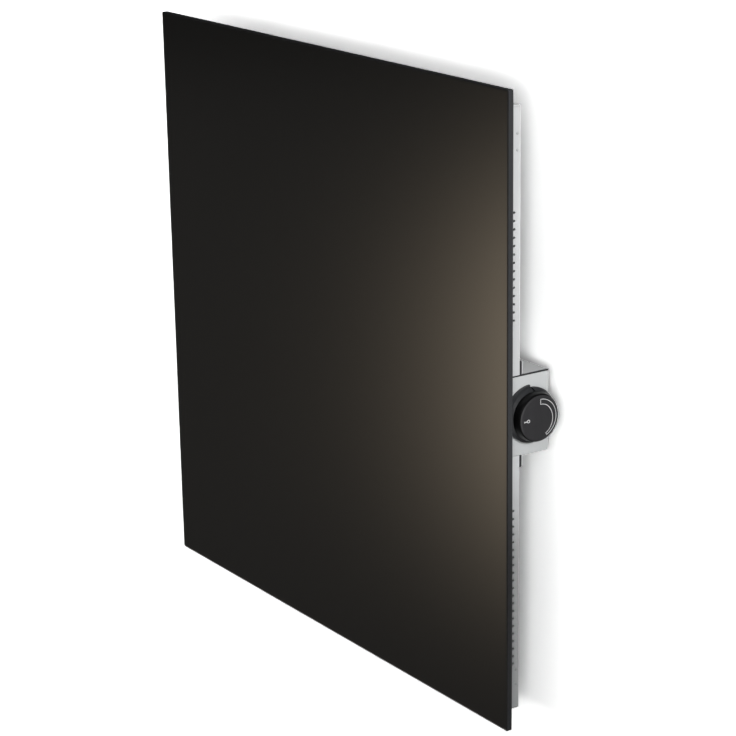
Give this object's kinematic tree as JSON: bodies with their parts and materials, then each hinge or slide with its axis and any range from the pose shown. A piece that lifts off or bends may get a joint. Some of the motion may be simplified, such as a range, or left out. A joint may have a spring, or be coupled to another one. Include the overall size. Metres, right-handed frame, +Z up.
{
  "type": "infrared panel heater",
  "caption": "Flat square glass radiant heating panel with a sheet-steel rear casing, a rotary thermostat knob on its side, and a wall rail that it hangs on.",
  "frame": {"origin": "middle of the wall rail's back face, on the wall plane", "axes": "+X to the panel's right seen from the front, +Y into the wall, +Z up"},
  "size_m": [0.6056, 0.062, 0.6],
  "materials": {
    "black_glass": "toughened float glass, black-brown back print, polished arris",
    "aluminium_sheet": "mill finish",
    "heating_cable": "silicone rubber sleeve",
    "foil": "bright foil",
    "mineral_board": "pressed mineral fibre",
    "casing_paint": "fine matt powder coat",
    "plate_paint": "satin powder coat",
    "black_plastic": "moulded, fine grain",
    "collar_plastic": "moulded, satin",
    "knob_plastic": "soft matt, printed light-grey scale",
    "zinc_steel": "zinc plated sheet",
    "cream_plastic": "moulded",
    "dark_phenolic": "moulded",
    "copper": "bare copper tube",
    "brass_nut": "machined",
    "brown_lead": "silicone sleeve",
    "blue_lead": "silicone sleeve",
    "green_lead": "green and yellow sleeve",
    "white_lead": "silicone sleeve",
    "black_rubber": "moulded",
    "fixings": "zinc plated"
  },
  "bodies": {
    "wall": {"wall_rail": "zinc_steel"},
    "panel": {"glass_panel": "black_glass", "heat_spreader_plate": "aluminium_sheet", "heating_element": "heating_cable", "reflector_foil": "foil", "insulation_board": "mineral_board", "bonded_frame": "aluminium_sheet", "rear_casing": "casing_paint", "control_cover": "casing_paint", "side_plate": "plate_paint", "housing_flange": "black_plastic", "dial_collar": "collar_plastic", "thermostat_body": "cream_plastic", "terminal_block": "cream_plastic", "thermal_cutout_1": "dark_phenolic", "thermal_cutout_2": "dark_phenolic", "sensor_bulb_and_capillary": "copper", "bulb_clip": "zinc_steel", "earth_stud": "zinc_steel", "earth_nut": "brass_nut", "cable_gland": "black_plastic", "gland_nut": "black_plastic", "live_lead": "brown_lead", "switched_lead": "brown_lead", "neutral_lead": "blue_lead", "earth_lead": "green_lead", "element_tail_1": "white_lead", "element_tail_2": "white_lead", "hanger_left": "zinc_steel", "hanger_right": "zinc_steel", "wall_spacer_left": "black_rubber", "wall_spacer_right": "black_rubber", "joint_seal": "black_rubber", "flange_screw_1": "fixings", "flange_screw_2": "fixings", "flange_screw_3": "fixings", "flange_screw_4": "fixings", "cover_screw_1": "fixings", "cover_screw_2": "fixings", "plate_screw_1": "fixings", "plate_screw_2": "fixings", "thermostat_screw_1": "fixings", "thermostat_screw_2": "fixings", "casing_rivet_1": "fixings", "casing_rivet_2": "fixings", "casing_rivet_3": "fixings", "casing_rivet_4": "fixings", "casing_rivet_5": "fixings", "casing_rivet_6": "fixings", "casing_rivet_7": "fixings", "casing_rivet_8": "fixings", "hanger_rivet_left_1": "fixings", "hanger_rivet_left_2": "fixings", "hanger_rivet_right_1": "fixings", "hanger_rivet_right_2": "fixings"},
    "knob": {"knob": "knob_plastic", "spindle": "zinc_steel"}
  },
  "joints": [
    {"name": "panel_lift", "type": "slide", "parent": "wall", "child": "panel", "axis": [0, 0, 1], "range_m": [0, 0.011]},
    {"name": "knob_turn", "type": "hinge", "parent": "panel", "child": "knob", "pos_m": [0.3, -0.0297, -0.1538], "axis": [1, 0, 0], "range_deg": [0, 270]}
  ]
}
